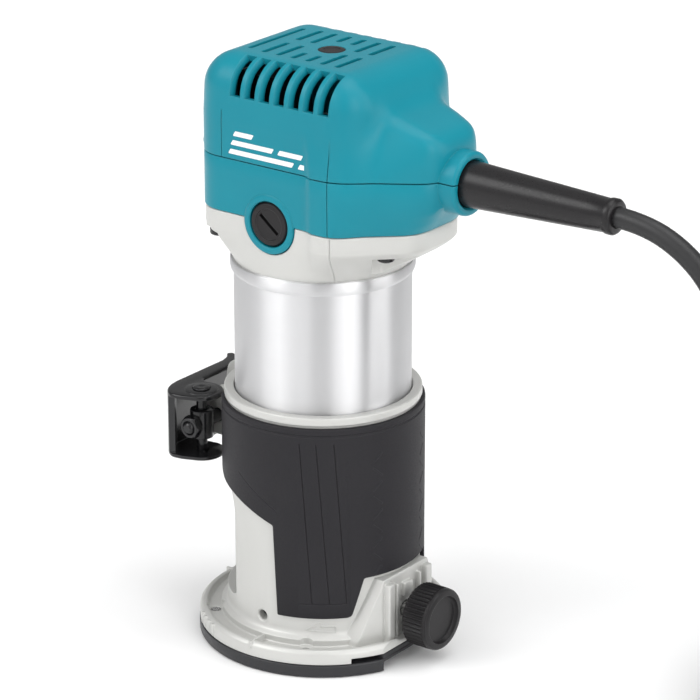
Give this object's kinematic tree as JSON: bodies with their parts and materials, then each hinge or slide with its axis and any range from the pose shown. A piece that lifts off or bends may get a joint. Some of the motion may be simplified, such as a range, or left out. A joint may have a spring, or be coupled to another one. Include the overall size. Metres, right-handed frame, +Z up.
{
  "type": "trim router",
  "caption": "Upright handheld trim router: motor unit with teal covers slides in a cast base with a rubber grip, cam lever clamp, rack drive, chip window and guide screw.",
  "frame": {"origin": "on the surface the tool stands on, under the middle of the tool's box without its cord", "axes": "+Z up along the spindle, +X to the rear where the cord leaves, +Y to the tool's right seen from the rear"},
  "size_m": [0.3102, 0.1562, 0.2255],
  "materials": {
    "teal_plastic": "fine grain, satin",
    "cast_silver": "die cast, satin, lightly grained",
    "machined_aluminium": "turned, bright",
    "black_plastic": "satin",
    "black_rubber": "matt",
    "blackened_steel": "gloss black",
    "steel": "bright",
    "lamination_steel": "laminated",
    "copper": "bare copper",
    "brass": "bright",
    "carbon": "pressed carbon",
    "white_plastic": "satin"
  },
  "bodies": {
    "base": {"base_casting": "cast_silver", "grip_sleeve": "black_rubber", "sub_base": "black_plastic", "plate_screw_a": "steel", "plate_screw_b": "steel", "plate_screw_c": "steel", "plate_screw_d": "steel", "clamp_bolt": "blackened_steel", "clamp_nut": "blackened_steel", "clamp_pin": "blackened_steel", "cord_coil": "black_rubber", "plug_body": "black_rubber", "plug_pin_a": "brass", "plug_pin_b": "brass"},
    "clamp_lever": {"clamp_lever": "blackened_steel"},
    "depth_pinion": {"depth_pinion": "steel", "depth_knob": "black_plastic"},
    "guide_slide": {"guide_washer": "blackened_steel"},
    "guide_screw": {"guide_screw": "steel", "guide_knob": "black_plastic"},
    "motor": {"motor_housing": "machined_aluminium", "lower_cover": "teal_plastic", "upper_cover": "teal_plastic", "housing_screw_a": "blackened_steel", "housing_screw_b": "blackened_steel", "housing_screw_c": "blackened_steel", "housing_screw_d": "blackened_steel", "brush_cap_left": "black_plastic", "brush_cap_right": "black_plastic", "brush_holder_left": "brass", "brush_holder_right": "brass", "carbon_brush_left": "carbon", "carbon_brush_right": "carbon", "brush_spring_left": "steel", "brush_spring_right": "steel", "stator_core": "lamination_steel", "field_coil_front": "copper", "field_coil_rear": "copper", "lower_bearing": "steel", "upper_bearing": "steel", "bearing_retainer": "steel", "fan_baffle": "black_plastic", "switch_body": "black_plastic", "speed_module": "black_plastic", "cord_guard": "black_rubber", "power_cord": "black_rubber", "cord_clamp": "black_plastic"},
    "spindle": {"spindle": "steel", "armature_core": "lamination_steel", "armature_windings": "copper", "commutator": "copper", "cooling_fan": "black_plastic", "collet_cone": "steel", "collet_nut": "blackened_steel"},
    "switch_rocker": {"switch_rocker": "black_plastic"},
    "speed_dial": {"speed_dial": "white_plastic"}
  },
  "joints": [
    {"name": "depth_slide", "type": "slide", "parent": "base", "child": "motor", "axis": [0, 0, 1], "range_m": [-0.03, 0.01]},
    {"name": "pinion_turn", "type": "hinge", "parent": "base", "child": "depth_pinion", "pos_m": [-0.03898, 0.005, 0.088], "axis": [0, 1, 0], "range_deg": [-101, 301]},
    {"name": "spindle_spin", "type": "hinge", "parent": "motor", "child": "spindle", "pos_m": [-0.0026, 0, 0.1], "axis": [0, 0, 1], "continuous": true},
    {"name": "lever_swing", "type": "hinge", "parent": "base", "child": "clamp_lever", "pos_m": [-0.0466, -0.0172, 0.077], "axis": [0, 0, 1], "range_deg": [0, 100]},
    {"name": "guide_travel", "type": "slide", "parent": "base", "child": "guide_slide", "axis": [1, 0, 0], "range_m": [-0.0015, 0.002]},
    {"name": "guide_turn", "type": "hinge", "parent": "guide_slide", "child": "guide_screw", "pos_m": [0.0354, 0, 0.0173], "axis": [1, 0, 0], "range_deg": [-541, 721]},
    {"name": "switch_rock", "type": "hinge", "parent": "motor", "child": "switch_rocker", "pos_m": [-0.0356, 0, 0.2045], "axis": [0, 1, 0], "range_deg": [-5, 5]},
    {"name": "dial_turn", "type": "hinge", "parent": "motor", "child": "speed_dial", "pos_m": [-0.0301, 0, 0.179], "axis": [0, 0, 1], "range_deg": [-150, 150]}
  ],
  "couplings": [
    {"joint": "pinion_turn", "follows": "depth_slide", "rad_per_m": -174.53},
    {"joint": "guide_turn", "follows": "guide_travel", "rad_per_m": 6283.2}
  ]
}
